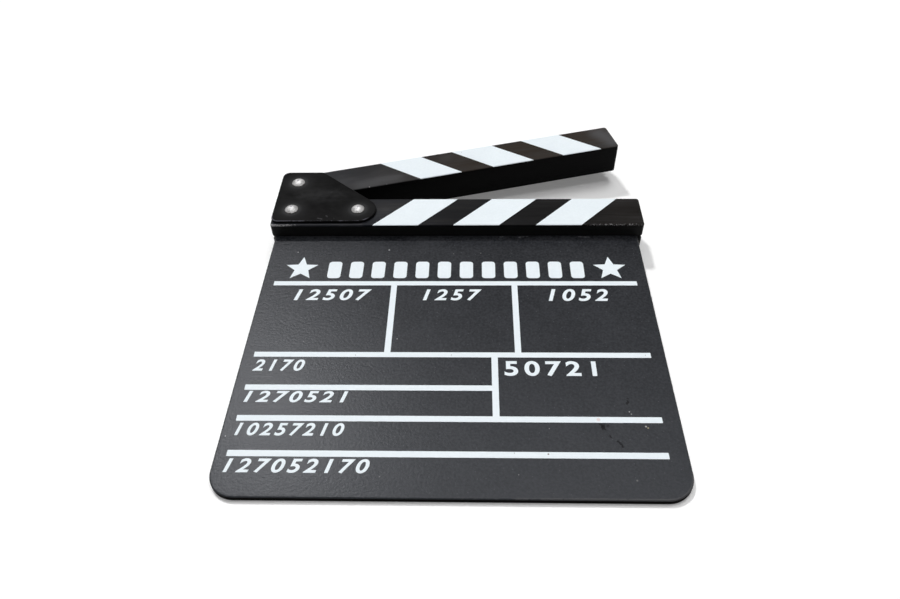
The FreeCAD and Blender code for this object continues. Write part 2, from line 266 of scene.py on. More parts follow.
# %% [markdown]
# The last shared effect is flecks: dust, pinholes and specks of paint. A Voronoi texture has one point in
# each cell; cells whose random number is high enough keep their point as a round fleck. The texture is flat,
# in x and y, because the faces that carry flecks are level and would miss most points of a solid texture.

# %% Fleck group
SOLID_SHARE = 0.5
fleck_group, given, result = new_group("stray_flecks", ["Vector"], ["Density", "Size", "Share"], ["Mask"])
tree = fleck_group
cells = add(tree, "TexVoronoi", Vector=given["Vector"], Scale=given["Density"], voronoi_dimensions="2D")
draw = add(tree, "SeparateColor", cells.outputs["Color"]).outputs["Red"]
kept = calculate(tree, "GREATER_THAN", draw, calculate(tree, "SUBTRACT", 1, given["Share"]))
core = calculate(tree, "MULTIPLY", given["Size"], SOLID_SHARE)
disc = ramp(tree, cells.outputs["Distance"], core, given["Size"], 1, 0)
feed(tree, result["Mask"], calculate(tree, "MULTIPLY", disc, kept))

# %% [markdown]
# ## A material to start from
# Each finish below starts from a Principled shader and from places in metres, so that a noise scale of 1000
# means grains of about a millimetre. The places come from an attribute of the meshes made here: it holds a
# vertex's place on the straight piece, so the grain follows a stick that is swung open.

# %% Start and end of a finish
finishes = {}


def new_finish(name, **plain):
    """A material's tree, its shader with plain values on the shader's own sockets, and its places."""
    material = bpy.data.materials.new(name)
    material.use_nodes = True
    tree = material.node_tree
    shader = tree.nodes["Principled BSDF"]
    for key, value in plain.items():
        shader.inputs[key.replace("_", " ")].default_value = value
    finishes[name] = material
    return tree, shader, add(tree, "Attribute", attribute_name="straight").outputs["Vector"]


def end_finish(tree, shader, colour, gloss, height=None, depth=0.0):
    """Feeds colour and roughness to the shader, and lets a height bump the surface by a real depth."""
    feed(tree, shader.inputs["Base Color"], colour)
    feed(tree, shader.inputs["Roughness"], gloss)
    if height is not None:
        bump = add(tree, "Bump", Height=height, Distance=depth, Strength=1.0)
        feed(tree, shader.inputs["Normal"], bump.outputs["Normal"])
    print("finish", list(finishes)[-1], "has", len(tree.nodes), "nodes")


print("finish helpers ready")

# %% [markdown]
# A finish is built up as a painter would do it, in layers. Each helper below takes the colour so far and
# gives it back with one more layer on it. Points, widths and radii on a face are millimetres, which are easy
# to read off a drawing.

# %% Layers of a finish
STROKE_RAGGED = 600
SMEAR_SPREAD = 0.15


def on_face(point, level):
    """A place on a level face, from a point in millimetres."""
    return Vector((point[0] * MM, point[1] * MM, level))


def place_stroke(tree, place, first, last, width, level):
    """The masks of one stroke on a level face."""
    ends = {"Start": on_face(first, level), "End": on_face(last, level)}
    return place_group(tree, scuff_group, Vector=place, Width=width * MM, Ragged=STROKE_RAGGED, **ends)


def scratch(tree, place, colour, paint, strokes, level):
    """Torn strokes of one paint."""
    for first, last, width in strokes:
        mask = place_stroke(tree, place, first, last, width, level)["Mask"]
        colour = mix_colour(tree, mask, colour, paint)
    return colour


def smear(tree, place, colour, paint, strokes, level, patches=None, least_share=0.0):
    """Soft strokes of one paint, each of its own strength; a height of patches makes them uneven."""
    for first, last, width, strength in strokes:
        soft = place_stroke(tree, place, first, last, width, level)["Soft"]
        cover = strength
        if patches is not None:
            cover = uneven(tree, patches, least_share * strength, strength, SMEAR_SPREAD)
        colour = mix_colour(tree, calculate(tree, "MULTIPLY", soft, cover), colour, paint)
    return colour


def speckle(tree, place, colour, specks, level):
    """Round specks, each of its own radius and paint."""
    for spot, radius, paint in specks:
        away = vector_sum(tree, "DISTANCE", place, on_face(spot, level), output="Value")
        speck = ramp(tree, away, radius * MM, SOLID_SHARE * radius * MM)
        colour = mix_colour(tree, speck, colour, paint)
    return colour


def strew(tree, place, colour, paint, density, size, share):
    """Stray flecks of one paint."""
    flecks = place_group(tree, fleck_group, Vector=place, Density=density, Size=size, Share=share)
    return mix_colour(tree, flecks["Mask"], colour, paint)


def colour_rims(tree, place, colour, rim_paint, ragged, amount):
    """Marked rims, in the colour that the finish gives them."""
    marking = place_group(tree, edge_group, Vector=place, Ragged=ragged, Amount=amount)
    return mix_colour(tree, marking["Mask"], colour, rim_paint)


print("layer helpers ready")

# %% [markdown]
# ## The slate's coat
# The slate is hardboard under a matt grey coat that takes chalk. The coat has a fine tooth. A flat grey
# would look like plastic, so the tooth changes the colour a little, and also changes the gloss and bumps the
# surface. Two soft patches of a paler grey are painted light: a painted sheen that grows towards the foot,
# and a painted fill that lightens the shade in the corner under the stick.

# %% Slate coat
SLATE_DARK = tint(0.0015, 0.0021, 0.0038)
SLATE_LIGHT = tint(0.0206, 0.0219, 0.0260)
SLATE_SHEEN = tint(0.93, 0.95, 1.0)
SLATE_DUST = tint(0.050, 0.052, 0.058)
# A paler grey for painted light: a sheen towards the foot and a fill in the stick's shadow.
PAINTED_LIGHT_GREY = tint(0.052, 0.055, 0.061)
SHEEN_FROM, SHEEN_MOST = 150 * MM, 0.32
FILL_FROM, FILL_TO, FILL_MOST = 152 * MM, 158 * MM, 0.75
tree, shader, place = new_finish("slate_coat", Specular_IOR_Level=0.12, Specular_Tint=SLATE_SHEEN)
up_slate = add(tree, "SeparateXYZ", place).outputs["Y"]
tooth = place_group(tree, grain_group, Vector=place, Fine=850, Broad=45, Share=0.7)
colour = mix_colour(tree, tooth["Mask"], SLATE_DARK, SLATE_LIGHT)
# Painted sheen: the coat grows paler towards the foot.
painted_sheen = ramp(tree, up_slate, SHEEN_FROM, 0, high=SHEEN_MOST)
colour = mix_colour(tree, painted_sheen, colour, PAINTED_LIGHT_GREY)
# Painted fill light: the shade in the corner under the stick is lightened.
painted_fill = ramp(tree, up_slate, FILL_FROM, FILL_TO, high=FILL_MOST)
colour = mix_colour(tree, calculate(tree, "MULTIPLY", tooth["Mask"], painted_fill), colour, PAINTED_LIGHT_GREY)
colour = strew(tree, place, colour, SLATE_DUST, density=260, size=0.08, share=0.25)
gloss = uneven(tree, tooth["Height"], low=0.30, high=0.36, spread=0.25)
print("slate coat begun with", len(tree.nodes), "nodes")

# %% [markdown]
# On the coat lie the marks of use: dull black scuffs near the lower right, pale flecks and specks, and a few
# strokes of chalk under the stick. The rim along the foot is paler: a little worn, and lit by a painted
# highlight that grows towards the right. Noise could strew them all, but some are what one knows this board
# by, so the larger ones have places of their own.

# %% Marks on the slate
SCUFF_BLACK = tint(0.003, 0.003, 0.0035)
SCUFF_DULLING = 0.3
FLECK_PALE = grey(0.20)
CHALK_GREY = tint(0.16, 0.16, 0.17)
# A paler rim: wear, and a painted highlight where the rounded edge catches the light.
RIM_WORN_LIT = tint(0.052, 0.052, 0.055)
SLATE_SCUFFS = (
    ((64.4, 35.6), (68.0, 35.0), 1.3),
    ((65.8, 34.4), (68.6, 30.2), 1.3),
    ((71.2, 27.6), (73.0, 25.0), 1.0),
    ((78.5, 49.6), (78.3, 47.0), 1.0),
    ((77.8, 44.4), (78.0, 44.1), 0.7),
)
SLATE_SPECKS = (
    ((78.4, 42.6), 0.40, grey(0.32)),
    ((79.1, 41.4), 0.40, grey(0.24)),
    ((84.4, 35.0), 0.50, tint(0.42, 0.41, 0.38)),
    ((85.2, 34.3), 0.45, tint(0.34, 0.30, 0.18)),
    ((76.6, 9.0), 0.55, grey(0.11)),
    ((-85.2, 145.7), 0.45, tint(0.30, 0.30, 0.31)),
    ((-97.4, 28.9), 0.40, tint(0.30, 0.30, 0.31)),
    ((-35.6, 147.4), 0.55, tint(0.40, 0.40, 0.41)),
    ((-26.8, 84.2), 0.40, grey(0.26)),
)
CHALK_STROKES = (
    ((25.0, 157.8), (26.4, 158.2), 0.5),
    ((35.0, 157.6), (40.0, 158.2), 0.45),
    ((68.0, 158.0), (74.0, 157.6), 0.5),
)
for first, last, width in SLATE_SCUFFS:
    scuff = place_stroke(tree, place, first, last, width, slate_high.z)["Mask"]
    colour = mix_colour(tree, scuff, colour, SCUFF_BLACK)
    gloss = calculate(tree, "ADD", gloss, calculate(tree, "MULTIPLY", scuff, SCUFF_DULLING))
colour = strew(tree, place, colour, FLECK_PALE, density=70, size=0.02, share=0.05)
colour = speckle(tree, place, colour, SLATE_SPECKS, slate_high.z)
colour = scratch(tree, place, colour, CHALK_GREY, CHALK_STROKES, slate_high.z)
# The slate's rim: wear and a painted highlight.
colour = colour_rims(tree, place, colour, RIM_WORN_LIT, ragged=300, amount=0.50)
end_finish(tree, shader, colour, gloss, tooth["Height"], depth=0.13 * MM)

# %% [markdown]
# The board's sawn edge isn't coated but stained black. It is rough and hardly shines, so it gets a
# material of its own, with the same fine noise for the fibres of the board.

# %% Slate edge
EDGE_BLACK = tint(0.0015, 0.0015, 0.0016)
EDGE_FIBRE = tint(0.0060, 0.0055, 0.0052)
tree, shader, place = new_finish("slate_edge", Specular_IOR_Level=0.015)
fibre = place_group(tree, grain_group, Vector=place, Stretch=(0.3, 0.3, 1), Fine=1200, Broad=200, Share=0.6)
colour = mix_colour(tree, fibre["Mask"], EDGE_BLACK, EDGE_FIBRE)
gloss = uneven(tree, fibre["Height"], low=0.7, high=0.85)
end_finish(tree, shader, colour, gloss, fibre["Height"], depth=0.08 * MM)

# %% [markdown]
# ## The sticks' paint
# The sticks are wood under thin black paint. The grain runs along them and stands a little proud, so the
# grain group is stretched along x, which is the length of a stick. The black is cool near the hinge and
# brownish towards the free end, where the paint is thin. The swinging stick's wide faces are paler in
# patches, paint dulled by hands with a painted sheen on it. Hands leave soft smears; one stroke along the
# lower stick's foot, under the plate, is painted light that lifts the plate's shadow. Only the middle of the
# lower stick keeps its fresh black.

# %% Stick paint on the faces
PAINT_COOL = tint(0.0075, 0.0088, 0.0125)
PAINT_WARM = tint(0.0062, 0.0049, 0.0041)
PAINT_WORN = tint(0.032, 0.031, 0.031)
PAINT_FRESH = grey(0.0010)
PAINT_SMEAR = tint(0.095, 0.095, 0.100)
# Dulled paint with a painted sheen: the swinging stick's wide faces are paler in patches.
DULL_SHEEN_COOL = tint(0.0460, 0.0465, 0.0500)
DULL_SHEEN_WARM = tint(0.0275, 0.0190, 0.0130)
WARM_FROM, WARM_TO = -20 * MM, 90 * MM
SHEEN_WARM_FROM, SHEEN_WARM_TO = 20 * MM, 120 * MM
LOWER_ABOVE, UPPER_BELOW = 100 * MM, 50 * MM
LEAST_SHEEN = 0.35
FRESH_STRETCH = (((2.0, 171.0), (52.0, 171.0), 40.0, 0.7),)
SMEARS_AND_FILL = (
    ((36.0, -8.0), (56.0, -7.0), 8.0, 0.40),
    ((87.0, 3.0), (90.0, 3.5), 5.0, 0.16),
    ((188.0, 4.0), (193.0, -6.0), 10.5, 0.60),
    # This stroke along the lower stick's foot, under the plate, is painted light that lifts the plate's
    # shadow.
    ((-101.0, 160.2), (-52.0, 160.2), 2.6, 0.65),
    ((-44.0, 167.0), (-39.0, 169.0), 7.0, 0.30),
)
tree, shader, place = new_finish("stick_paint", Specular_IOR_Level=0.035)
along_stick, up_stick, out_stick = add(tree, "SeparateXYZ", place).outputs
grain = place_group(tree, grain_group, Vector=place, Stretch=(0.06, 1, 1), Fine=900, Broad=160, Share=0.45)
patches = place_group(tree, grain_group, Vector=place, Stretch=(0.3, 1, 1), Fine=120, Broad=28, Share=0.3)
colour = mix_colour(tree, ramp(tree, along_stick, WARM_FROM, WARM_TO), PAINT_COOL, PAINT_WARM)
# Painted sheen, with dulled paint, on the swinging stick's faces.
sheen_colour = mix_colour(tree, ramp(tree, along_stick, SHEEN_WARM_FROM, SHEEN_WARM_TO), DULL_SHEEN_COOL, DULL_SHEEN_WARM)
swinging = ramp(tree, up_stick, LOWER_ABOVE, UPPER_BELOW)
sheen_share = uneven(tree, patches["Height"], low=LEAST_SHEEN, spread=SMEAR_SPREAD)
colour = mix_colour(tree, calculate(tree, "MULTIPLY", swinging, sheen_share), colour, sheen_colour)
worn = calculate(tree, "MULTIPLY", grain["Mask"], patches["Mask"])
colour = mix_colour(tree, worn, colour, PAINT_WORN)
colour = smear(tree, place, colour, PAINT_FRESH, FRESH_STRETCH, stick_high.z)
colour = smear(tree, place, colour, PAINT_SMEAR, SMEARS_AND_FILL, clapper_high.z,
               patches=patches["Height"], least_share=0.25)
print("stick paint begun with", len(tree.nodes), "nodes")

# %% [markdown]
# The walls of a stick look unlike its faces. A mask of the height over the stick's middle tells the two
# apart, and a wall's normal tells front from back: the front walls are black, a painted shade, darkest on
# the swinging stick, while the back walls, and more faintly the ends, show streaks of grain. Last come the
# edges, rubbed down to a pale primer, and two small chips.

# %% Stick paint on walls and edges
# The front walls' colours are painted shade; the swinging stick's is darkest.
FRONT_WALL_SHADE = tint(0.0135, 0.0135, 0.0138)
UPPER_WALL_SHADE = tint(0.0020, 0.0020, 0.0021)
WALL_HANDLED = tint(0.0075, 0.0074, 0.0076)
WALL_STREAK = tint(0.030, 0.0295, 0.030)
PRIMER_PALE = tint(0.27, 0.265, 0.27)
FACE_FROM, FACE_TO = 0.7 * MM, 0.1 * MM
FACING_FRONT, FACING_BACK = -0.4, 0.6
PAINT_CHIPS = (((39.6, -11.9), 0.5, PRIMER_PALE), ((49.8, -11.9), 0.5, PAINT_SMEAR))
stick_middle = (stick_low.z + stick_high.z) / 2
half_clapper = (clapper_high.z - clapper_low.z) / 2
from_middle = calculate(tree, "ABSOLUTE", calculate(tree, "SUBTRACT", out_stick, stick_middle))
wide_face = ramp(tree, from_middle, half_clapper - FACE_FROM, half_clapper - FACE_TO)
facing = add(tree, "SeparateXYZ", add(tree, "TexCoord").outputs["Normal"]).outputs["Y"]
# Painted shade on the front walls.
shaded_wall = mix_colour(tree, swinging, FRONT_WALL_SHADE, UPPER_WALL_SHADE)
streaked = mix_colour(tree, grain["Mask"], WALL_HANDLED, WALL_STREAK)
shaded_wall = mix_colour(tree, ramp(tree, facing, FACING_FRONT, FACING_BACK), shaded_wall, streaked)
colour = mix_colour(tree, wide_face, shaded_wall, colour)
colour = colour_rims(tree, place, colour, PRIMER_PALE, ragged=1300, amount=0.40)
colour = speckle(tree, place, colour, PAINT_CHIPS, clapper_high.z)
gloss = uneven(tree, patches["Height"], low=0.34, high=0.46)
end_finish(tree, shader, colour, gloss, grain["Height"], depth=0.12 * MM)

# %% [markdown]
# ## The white print
# Stripes, ruled lines and figures are flat white ink with a cold tone. Ink is never quite even: it is
# thinner in places, has pinholes, and takes up a little dirt.

# %% White print
INK_WHITE = tint(0.85, 0.915, 0.955)
INK_THIN = tint(0.80, 0.865, 0.905)
INK_DIRT = tint(0.22, 0.19, 0.17)
INK_RUST = tint(0.78, 0.71, 0.71)
INK_MARKS = (((64.4, 38.4), 1.1, INK_RUST), ((41.4, 21.0), 0.5, INK_DIRT))
tree, shader, place = new_finish("white_print", Specular_IOR_Level=0.15)
cover = place_group(tree, grain_group, Vector=place, Fine=800, Broad=70, Share=0.5)
colour = mix_colour(tree, cover["Mask"], INK_THIN, INK_WHITE)
colour = strew(tree, place, colour, INK_DIRT, density=110, size=0.03, share=0.05)
colour = speckle(tree, place, colour, INK_MARKS, slate_high.z)
gloss = uneven(tree, cover["Height"], low=0.5, high=0.65)
end_finish(tree, shader, colour, gloss, cover["Height"], depth=0.02 * MM)

# %% [markdown]
# ## The hinge plates' enamel
# The plates are sheet steel under satin black enamel. Enamel flows, so it is smoother than the paint on
# wood, and what shows on it is handling: a hazy smear, which is also a painted sheen, and fine scratches.
# Painted highlights lie round each rivet, an outer ring with a paler one in it, where the dished metal
# catches the light, and along the rounded rim of the foot, strongest at the heel and under the toe.

# %% Plate enamel
ENAMEL_BLACK = tint(0.0012, 0.0012, 0.0013)
ENAMEL_HAZE = tint(0.0080, 0.0079, 0.0081)
# A hazy smear that is also a painted sheen.
ENAMEL_SMEAR_SHEEN = tint(0.030, 0.030, 0.031)
ENAMEL_SCRATCHED = tint(0.040, 0.040, 0.042)
# Painted highlights on the dish round each rivet: an outer ring and a paler inner one.
DISH_GLEAM_OUTER = tint(0.020, 0.020, 0.021)
DISH_GLEAM_INNER = tint(0.075, 0.075, 0.077)
# Painted highlight on the rounded rim of the plate's foot.
ENAMEL_GLINT = tint(0.105, 0.104, 0.125)
DISH_GLEAMS = ((12.0, DISH_GLEAM_OUTER), (6.8, DISH_GLEAM_INNER))
GLEAM_RUN = Vector((0.1, 0))
PLATE_SMEAR_SHEEN = (((-88.0, 184.0), (-68.0, 184.0), 9.0, 0.5),)
PLATE_SCRATCHES = (
    ((-71.5, 186.4), (-69.8, 187.2), 0.5),
    ((-71.4, 165.6), (-70.6, 164.6), 0.6),
    ((-75.8, 163.6), (-73.4, 162.8), 0.5),
    ((-66.8, 163.4), (-66.2, 162.9), 0.4),
)
tree, shader, place = new_finish("plate_enamel", Specular_IOR_Level=0.018)
haze = place_group(tree, grain_group, Vector=place, Stretch=(0.7, 1, 1), Fine=400, Broad=50, Share=0.2)
peel = place_group(tree, grain_group, Vector=place, Fine=1500, Broad=300, Share=0.5)
colour = mix_colour(tree, haze["Mask"], ENAMEL_BLACK, ENAMEL_HAZE)
# Smear and painted sheen across the plate's middle.
colour = smear(tree, place, colour, ENAMEL_SMEAR_SHEEN, PLATE_SMEAR_SHEEN, plate_high.z, patches=haze["Height"])
colour = scratch(tree, place, colour, ENAMEL_SCRATCHED, PLATE_SCRATCHES, plate_high.z)
# Painted highlight rings where the dished metal round each rivet catches the light.
for spot in rivet_spots.values():
    for reach, paint in DISH_GLEAMS:
        dish_gleam = place_stroke(tree, place, spot / MM, spot / MM + GLEAM_RUN, reach, plate_high.z)
        colour = mix_colour(tree, dish_gleam["Soft"], colour, paint)
# Painted highlight along the plate's rim.
colour = colour_rims(tree, place, colour, ENAMEL_GLINT, ragged=500, amount=0.50)
gloss = uneven(tree, haze["Height"], low=0.32, high=0.46, spread=0.12)
end_finish(tree, shader, colour, gloss, peel["Height"], depth=0.02 * MM)

# %% [markdown]
# ## The rivets' nickel
# The rivets are nickel-plated steel, struck by a tool, so their domes are bright but not perfect mirrors:
# they are dented, dull in patches, with a small mark on top. The outer part of each dome is painted darker,
# grime with painted shade. Metal has no colour but that of its reflections, so the shader's Metallic is 1.

# %% Rivet nickel
NICKEL_BRIGHT = tint(0.44, 0.435, 0.43)
NICKEL_DULL = tint(0.20, 0.198, 0.20)
NICKEL_MARK = tint(0.16, 0.155, 0.17)
# Grime with painted shade, for the outer part of each dome.
GRIME_AND_SHADE = tint(0.07, 0.065, 0.06)
MARK_RADIUS = 0.9
marks = [(spot / MM, MARK_RADIUS, NICKEL_MARK) for spot in rivet_spots.values()]
tree, shader, place = new_finish("rivet_nickel", Metallic=1.0)
struck = place_group(tree, grain_group, Vector=place, Fine=2000, Broad=560, Share=0.35)
colour = mix_colour(tree, struck["Mask"], NICKEL_BRIGHT, NICKEL_DULL)
colour = speckle(tree, place, colour, marks, rivet_high.z)
# The dome's outer part is darkened: grime and painted shade.
colour = colour_rims(tree, place, colour, GRIME_AND_SHADE, ragged=900, amount=0.38)
gloss = uneven(tree, struck["Height"], low=0.42, high=0.60)
end_finish(tree, shader, colour, gloss, struck["Height"], depth=0.26 * MM)

# %% [markdown]
# ## The washers' nylon
# Two thin washers of milky nylon, a little dirty, lie between the plates and the swinging stick. They could
# be modelled anew, but they hardly show, so the frame's own meshes only get a material. These carry no
# attribute, and the noise takes its places from the object instead.

# %% Washer nylon
NYLON_CLEAR = tint(0.72, 0.70, 0.64)
NYLON_DIRTY = tint(0.50, 0.48, 0.43)
tree, shader, _ = new_finish("washer_nylon", Subsurface_Weight=0.1)
place = add(tree, "TexCoord").outputs["Object"]
dirt = place_group(tree, grain_group, Vector=place, Fine=900, Broad=200, Share=0.5)
colour = mix_colour(tree, dirt["Mask"], NYLON_CLEAR, NYLON_DIRTY)
end_finish(tree, shader, colour, uneven(tree, dirt["Height"], low=0.35, high=0.5))
for node in ("front_pivot_washer", "rear_pivot_washer"):
    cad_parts[node].data.materials.clear()
    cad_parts[node].data.materials.append(finishes["washer_nylon"])

# %% [markdown]
# ## Slabs with rounded rims
# Slate, sticks and plates are all slabs: an outline, raised to a thickness, with softened rims. A bevel
# modifier could soften a plain box, but a slab built from rings is cleaner: the same outline is drawn in a
# little for each ring round the rim. The rings also carry the rim mark, for rubbed paint and painted
# highlights, which is strongest on the rim and falls to 0 a short way in.

# %% Outline with rounded corners
LEAST_RADIUS = 0.05 * MM
ARC_STEP = 1.2 * MM
RUN_STEP = 2.5 * MM
LEAST_ARC_STEPS = 4
SAME_PLACE = 0.0001 * MM


def rounded_outline(corners, inset=0.0):
    """Points along a convex outline, anticlockwise; a corner is (x, y, radius), and inset draws it in."""
    places = [Vector(corner[:2]) for corner in corners]
    following = places[1:] + places[:1]
    directions = [(stop - start).normalized() for start, stop in zip(places, following)]
    inward = [Vector((-direction.y, direction.x)) for direction in directions]
    arcs = []
    for index, (place, corner) in enumerate(zip(places, corners)):
        before, after = inward[index - 1], inward[index]
        radius = max(corner[2] - inset, LEAST_RADIUS)
        centre = place + (before + after) * ((inset + radius) / (1 + before.dot(after)))
        turn = before.angle(after)
        first = math.atan2(-before.y, -before.x)
        steps = max(LEAST_ARC_STEPS, round(turn * corner[2] / ARC_STEP))
        angles = [first + turn * step / steps for step in range(steps + 1)]
        arcs.append([centre + radius * Vector((math.cos(angle), math.sin(angle))) for angle in angles])
    points = []
    for arc, next_arc, start, stop in zip(arcs, arcs[1:] + arcs[:1], places, following):
        runs = max(1, int((stop - start).length / RUN_STEP))
        points += arc
        points += [arc[-1].lerp(next_arc[0], run / runs) for run in range(1, runs)]
    return [point for index, point in enumerate(points) if (point - points[index - 1]).length > SAME_PLACE]


def box_corners(low, high, radii):
    """The four corners of an upright rectangle, from the lower left one on."""
    places = ((low[0], low[1]), (high[0], low[1]), (high[0], high[1]), (low[0], high[1]))
    return [(x, y, radius) for (x, y), radius in zip(places, radii)]


print("outline helpers ready")

# %% [markdown]
# A slab, a stripe and a patch of ink are all stacks of loops with a skin round them. A turned rivet is one
# too, but for its two ends: there the loop is a single vertex on the axis, repeated, and the quads that meet
# in it lose a corner.

# %% Slab from rings
RIM_STEPS = 5


def skin(bm, loops, capped=True):
    """Faces between neighbours in a stack of loops and, where it is capped, one at each end."""
    for lower, upper in zip(loops, loops[1:]):
        for index in range(len(lower)):
            corners = (lower[index - 1], lower[index], upper[index], upper[index - 1])
            bm.faces.new(list(dict.fromkeys(corners)))
    if capped:
        bm.faces.new(reversed(loops[0]))
        bm.faces.new(loops[-1])


def rim_rings(level, radius, outward, band):
    """Rings from a slab's flat face over its rim to its wall, as (level, inset, rim mark)."""
    rings = [(level, radius + band, 0.0)]
    for step in range(RIM_STEPS + 1):
        angle = math.pi / 2 * step / RIM_STEPS
        drop = radius * (1 - math.cos(angle))
        rings.append((level - outward * drop, radius * (1 - math.sin(angle)), 1.0))
    return rings


def rounded_slab(corners, low, high, low_round, high_round, marking, band, wall_band=0.0):
    """A closed bmesh slab; a function tells how strongly each place of its rim is marked, from 0 to 1."""
    rings = rim_rings(low, low_round, -1, band)
    if wall_band:
        rings.append((low + low_round + wall_band, 0.0, 0.0))
        rings.append((high - high_round - wall_band, 0.0, 0.0))
    rings += reversed(rim_rings(high, high_round, 1, band))
    bm = bmesh.new()
    rim_mark = bm.verts.layers.float.new("rim_mark")
    loops = []
    for level, inset, rim in rings:
        loop = []
        for point in rounded_outline(corners, inset):
            vertex = bm.verts.new((point.x, point.y, level))
            vertex[rim_mark] = rim * marking(vertex.co)
            loop.append(vertex)
        loops.append(loop)
    skin(bm, loops)
    return bm


print("slab helpers ready")

# %% [markdown]
# ## From a mesh to a piece
# A finished mesh becomes an object with its material, its shading, the body that it rides on, and the node
# of the frame that it stands for, which is hidden. Its vertices also keep the place that they had before the
# piece was swung open, as an attribute for the materials. Weighted normals keep the wide faces flat and let
# only the rims look round.

# %% Piece helpers
SHARP_ANGLE = math.radians(40)


def add_object(name, data):
    """A new object in the scene."""
    thing = bpy.data.objects.new(name, data)
    bpy.context.scene.collection.objects.link(thing)
    return thing


def to_object(bm, name):
    """A new object from a bmesh, which is used up."""
    mesh = bpy.data.meshes.new(name)
    bm.to_mesh(mesh)
    bm.free()
    return add_object(name, mesh)


def make_piece(name, bm, slot, body, replaces=None, where=None):
    """An object from a bmesh, placed, shaded and tied to the frame."""
    straight = bm.verts.layers.float_vector.new("straight")
    for vertex in bm.verts:
        vertex[straight] = vertex.co
    if where is not None:
        bm.transform(where)
    piece = to_object(bm, name)
    piece.data.materials.append(finishes[slot])
    piece.data.shade_smooth()
    piece.data.set_sharp_from_angle(angle=SHARP_ANGLE)
    piece.modifiers.new("even_normals", "WEIGHTED_NORMAL").keep_sharp = True
    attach(piece, body)
    if replaces:
        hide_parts(replaces)
    print(name, "has", len(piece.data.polygons), "faces")
    return piece


print("piece helpers ready")

# %% [markdown]
# ## Cutting bores and grooves
# Rivets pass through plates, sticks and slate, and the slate's upper rim sits in a groove of the lower
# stick. Such cuts are made with solid cutters and Blender's exact Boolean, which can also join two solids
# to one. The result is written back to the mesh, so that nothing is left to compute later.

# %% Cutter helpers
BORE_SEGMENTS = 40
FIXED_BORE = 2.05 * MM
CUT_OVERRUN = 1 * MM


def cone_cutter(place, low, high, low_radius, high_radius):
    """A round cutter along z between two levels."""
    bm = bmesh.new()
    where = Matrix.Translation((place[0], place[1], (low + high) / 2))
    bmesh.ops.create_cone(bm, cap_ends=True, segments=BORE_SEGMENTS, radius1=low_radius,
                          radius2=high_radius, depth=high - low, matrix=where)
    return bm


def bores(spots, low, high, radius=FIXED_BORE):
    """Round cutters that pass right through a slab."""
    return [cone_cutter(spot, low - CUT_OVERRUN, high + CUT_OVERRUN, radius, radius) for spot in spots]


def box_cutter(low, high):
    """A square cutter between two corners."""
    bm = bmesh.new()
    size = Vector(high) - Vector(low)
    where = Matrix.Translation((Vector(low) + Vector(high)) / 2) @ Matrix.Diagonal((*size, 1))
    bmesh.ops.create_cube(bm, size=1, matrix=where)
    return bm


def cut_away(bm, cutters, operation="DIFFERENCE"):
    """The bmesh less its cutters, or with another operation joined to them."""
    blank = to_object(bm, "blank")
    tools = [to_object(cutter, "cutter") for cutter in cutters]
    for tool in tools:
        cut = blank.modifiers.new("cut", "BOOLEAN")
        cut.operation = operation
        cut.solver = "EXACT"
        cut.object = tool
    bpy.context.view_layer.update()
    made = bmesh.new()
    made.from_mesh(blank.evaluated_get(bpy.context.evaluated_depsgraph_get()).to_mesh())
    for thing in (blank, *tools):
        bpy.data.objects.remove(thing)
    return made


print("cutter helpers ready")

# %% [markdown]
# ## The slate
# The slate is 3 mm board with two wide round corners at its foot and a soft rim. Its coat stops just under
# the lower stick; above that a thinner bare tongue goes into the stick's groove. The coated board and the
# tongue are one piece, so they are two slabs that overlap a little and are joined to one solid. Faces that
# stand upright are the sawn edge.

# %% Build the slate
SLATE_CORNER = 12 * MM
SLATE_RIM = 0.6 * MM
SLATE_BAND = 0.8 * MM
COAT_STOP = 0.3 * MM
COAT_THICKNESS = 0.2 * MM
TONGUE_OVERLAP = 3 * MM
TONGUE_RIM = 0.1 * MM
TONGUE_BAND = 1 * MM
# How strongly the slate's rim is marked; the growth towards the right is a painted highlight.
SIDE_MARK, LEFT_MARK, RIGHT_MARK, MARK_GROWTH = 0.5, 0.4, 0.95, 0.8
UPRIGHT = 0.3
coat_top = stick_low.y - COAT_STOP


def slate_rim_light(place):
    """The slate's rim is paler along its foot, worn and with a painted highlight that grows towards the
    right.
    """
    at_foot = 1.0 if place.y < SLATE_CORNER else SIDE_MARK
    return at_foot * min(RIGHT_MARK, LEFT_MARK + MARK_GROWTH * max(0.0, place.x / slate_high.x))


board = rounded_slab(
    box_corners(slate_low, (slate_high.x, coat_top), (SLATE_CORNER, SLATE_CORNER, 0, 0)),
    slate_low.z, slate_high.z, SLATE_RIM, SLATE_RIM, slate_rim_light, SLATE_BAND)
tongue = rounded_slab(
    box_corners((slate_low.x, coat_top - TONGUE_OVERLAP), slate_high, (0,) * 4),
    slate_low.z + COAT_THICKNESS, slate_high.z - COAT_THICKNESS, TONGUE_RIM, TONGUE_RIM,
    lambda place: 0.0, TONGUE_BAND)
tongue = cut_away(tongue, bores((heel, toe), slate_low.z, slate_high.z))
board = cut_away(board, [tongue], operation="UNION")
board.normal_update()
for face in board.faces:
    face.material_index = 1 if abs(face.normal.z) < UPRIGHT else 0
slate = make_piece("slate", board, "slate_coat", BODY_SLATE, "slate_board")
slate.data.materials.append(finishes["slate_edge"])

# %% [markdown]
# ## The lower stick
# A straight stick with softened edges and a groove along its foot for the slate. It lies where hands and
# tables rub it: most along its lower front edge, near the hinge and over the free end, which the `marking`
# function tells the rim.

